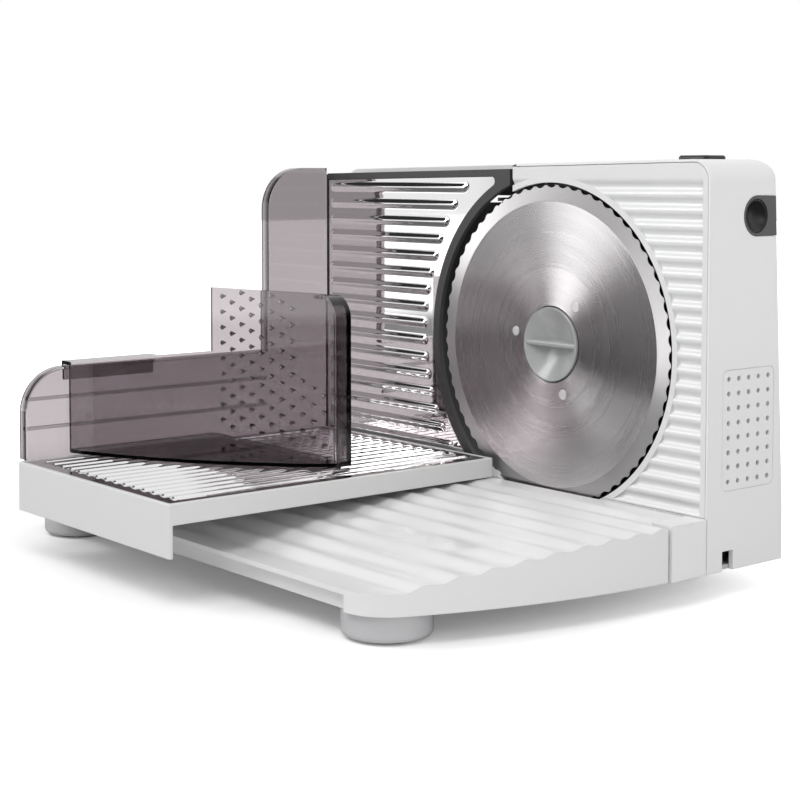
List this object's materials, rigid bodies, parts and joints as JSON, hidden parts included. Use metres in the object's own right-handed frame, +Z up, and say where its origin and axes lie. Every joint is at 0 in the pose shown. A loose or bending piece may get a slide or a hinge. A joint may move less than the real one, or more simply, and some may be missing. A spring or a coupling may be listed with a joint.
{
  "type": "deli meat slicer",
  "caption": "Deli meat slicer: housing with a round serrated blade, ribbed base, sliding carriage with smoky guard and spiked pusher, and a dial-set slice fence.",
  "frame": {"origin": "centre of the bounding box in plan, on the worktop under the feet", "axes": "+X to the user's right along the blade's face, +Y away from the user, +Z up"},
  "size_m": [0.404, 0.3012, 0.244],
  "materials": {
    "housing_white": "smooth moulded plastic, satin gloss",
    "panel_white": "moulded waves, satin gloss",
    "base_white": "smooth moulded plastic, satin gloss",
    "well_black": "dull black moulding",
    "zinc_plate": "zinc-plated pressed sheet",
    "screw_steel": "bright plated steel",
    "pin_steel": "ground steel pin",
    "blade_steel": "circular-brushed stainless steel",
    "gear_nylon": "natural nylon",
    "knob_grey": "light grey moulding",
    "pinion_brass": "machined brass",
    "motor_zinc": "zinc-plated motor can",
    "motor_cap_black": "black moulding",
    "bearing_steel": "sintered bush",
    "magnet_dark": "ferrite",
    "rotor_iron": "laminated core with lacquered windings",
    "surround_grey": "dark grey moulding",
    "button_black": "fine-textured black",
    "switch_black": "black switch case",
    "fence_grey": "dark grey moulding",
    "fence_steel": "mirror-polished stainless sheet",
    "bottom_grey": "grey moulding",
    "foot_grey": "light grey moulding",
    "pad_rubber": "soft rubber pad",
    "table_steel": "polished stainless sheet",
    "smoky_clear": "smoke-tinted clear plastic"
  },
  "bodies": {
    "base": {"housing_shell": "housing_white", "front_panel": "panel_white", "blade_well": "well_black", "vent_panel": "housing_white", "gear_plate": "zinc_plate", "plate_screws": "screw_steel", "blade_axle": "pin_steel", "idler_pin": "pin_steel", "motor_can": "motor_zinc", "motor_end_cap": "motor_cap_black", "motor_bearings": "bearing_steel", "motor_magnets": "magnet_dark", "button_surround": "surround_grey", "power_switch": "switch_black", "lock_switch": "switch_black", "rod_bushes": "gear_nylon", "base_tray": "base_white", "base_plate": "bottom_grey", "housing_bottom": "bottom_grey", "foot_front_right": "foot_grey", "foot_front_left": "foot_grey", "foot_rear_right": "foot_grey", "foot_rear_left": "foot_grey", "foot_pads": "pad_rubber", "foot_screws": "screw_steel"},
    "blade": {"blade_disc": "blade_steel", "blade_gear": "gear_nylon", "blade_rivets": "screw_steel"},
    "blade_lock": {"blade_lock_knob": "knob_grey"},
    "idler": {"idler_gear": "gear_nylon"},
    "rotor": {"motor_rotor": "rotor_iron", "drive_pinion": "pinion_brass"},
    "fence": {"fence_frame": "fence_grey", "fence_plate": "fence_steel", "fence_rods": "pin_steel", "fence_screws": "screw_steel", "fence_rack": "gear_nylon"},
    "dial": {"thickness_dial": "button_black", "dial_pinion": "gear_nylon"},
    "carriage": {"carriage_frame": "base_white", "carriage_plate": "table_steel", "carriage_guard": "smoky_clear", "guard_screws": "screw_steel", "front_glide": "base_white", "rear_glides": "gear_nylon"},
    "pusher": {"food_pusher": "smoky_clear"},
    "power": {"power_button": "button_black"},
    "lock": {"lock_button": "button_black"}
  },
  "joints": [
    {"name": "blade_spin", "type": "hinge", "parent": "base", "child": "blade", "pos_m": [0.07913, 0.08632, 0.132], "axis": [0, 1, 0], "continuous": true},
    {"name": "idler_spin", "type": "hinge", "parent": "base", "child": "idler", "pos_m": [0.11844, 0.08632, 0.10447], "axis": [0, 1, 0], "continuous": true},
    {"name": "rotor_spin", "type": "hinge", "parent": "base", "child": "rotor", "pos_m": [0.13644, 0.08632, 0.07329], "axis": [0, 1, 0], "continuous": true},
    {"name": "blade_lock_turn", "type": "hinge", "parent": "base", "child": "blade_lock", "pos_m": [0.07913, 0.08632, 0.132], "axis": [0, 1, 0], "range_deg": [0, 90]},
    {"name": "fence_slide", "type": "slide", "parent": "base", "child": "fence", "axis": [0, 1, 0], "range_m": [0, 0.015]},
    {"name": "dial_turn", "type": "hinge", "parent": "base", "child": "dial", "pos_m": [-0.14288, 0.11532, 0.135], "axis": [1, 0, 0], "range_deg": [-123, 0.5]},
    {"name": "carriage_slide", "type": "slide", "parent": "base", "child": "carriage", "axis": [1, 0, 0], "range_m": [-0.055, 0.16]},
    {"name": "pusher_slide", "type": "slide", "parent": "carriage", "child": "pusher", "axis": [0, 1, 0], "range_m": [-0.02, 0.078]},
    {"name": "power_press", "type": "slide", "parent": "base", "child": "power", "axis": [0, 0, -1], "range_m": [0, 0.0016], "stiffness_N_per_m": 600, "springref_m": -0.002},
    {"name": "lock_press", "type": "slide", "parent": "base", "child": "lock", "axis": [-1, 0, 0], "range_m": [0, 0.0025], "stiffness_N_per_m": 400, "springref_m": -0.002}
  ],
  "couplings": [
    {"joint": "idler_spin", "follows": "blade_spin", "ratio": -5},
    {"joint": "rotor_spin", "follows": "blade_spin", "ratio": 25},
    {"joint": "dial_turn", "follows": "fence_slide", "rad_per_m": -142.86}
  ]
}
